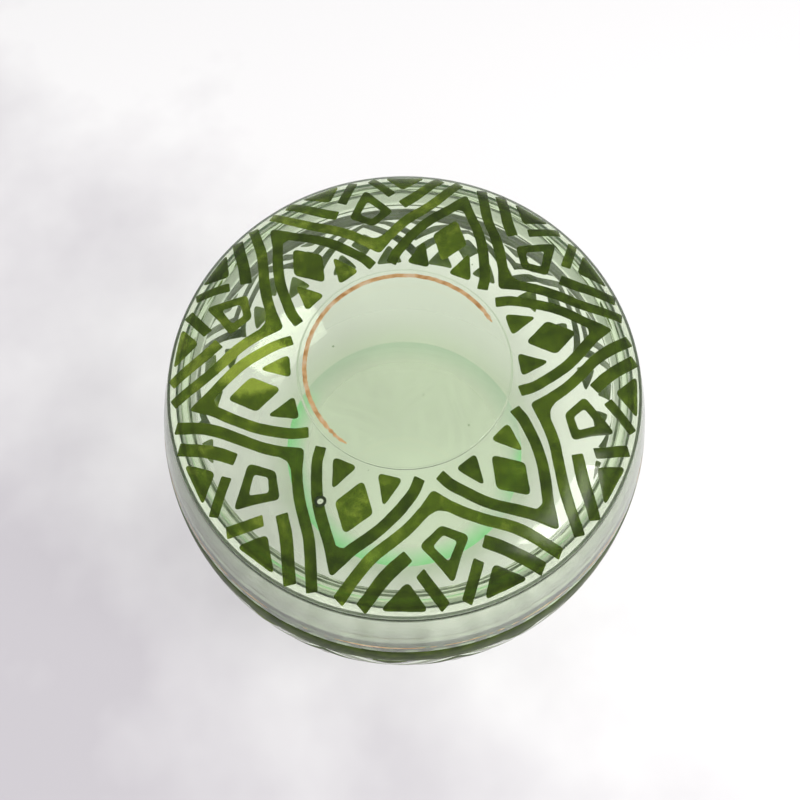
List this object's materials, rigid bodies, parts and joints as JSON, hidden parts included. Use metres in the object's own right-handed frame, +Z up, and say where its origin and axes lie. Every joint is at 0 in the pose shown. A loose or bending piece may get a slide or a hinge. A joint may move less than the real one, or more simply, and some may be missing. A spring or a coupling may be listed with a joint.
{
  "type": "powder jar",
  "caption": "Squat round glass powder jar with a flat-topped domed lift-off lid, green enamel petals and zigzags, gilt lines.",
  "frame": {"origin": "centre of the plane that the foot rests on", "axes": "+Z up along the axis of the jar and lid; one painted petal of the lid points along +X"},
  "size_m": [0.1242, 0.1242, 0.0696],
  "materials": {
    "pale_green_glass": "clear pale green blown glass, ground and polished rims",
    "green_enamel": "transparent olive green enamel, hand painted and fired",
    "gilding": "thin worn gilding"
  },
  "bodies": {
    "jar": {"jar_bowl": "pale_green_glass", "jar_gilt_line": "gilding", "jar_enamel_zigzags": "green_enamel", "jar_enamel_top_triangles": "green_enamel", "jar_enamel_diamonds": "green_enamel", "jar_enamel_base_triangles": "green_enamel"},
    "lid": {"lid_glass": "pale_green_glass", "lid_gilt_ring": "gilding", "lid_enamel_petal_arches": "green_enamel", "lid_enamel_petal_diamonds": "green_enamel", "lid_enamel_inner_triangles": "green_enamel", "lid_enamel_valley_stripes": "green_enamel", "lid_enamel_short_stripes": "green_enamel", "lid_enamel_kites": "green_enamel", "lid_enamel_bars": "green_enamel", "lid_enamel_rim_triangles": "green_enamel"}
  },
  "joints": [
    {"name": "lid_lift", "type": "slide", "parent": "jar", "child": "lid", "axis": [0, 0, 1], "range_m": [0, 0.09]}
  ]
}
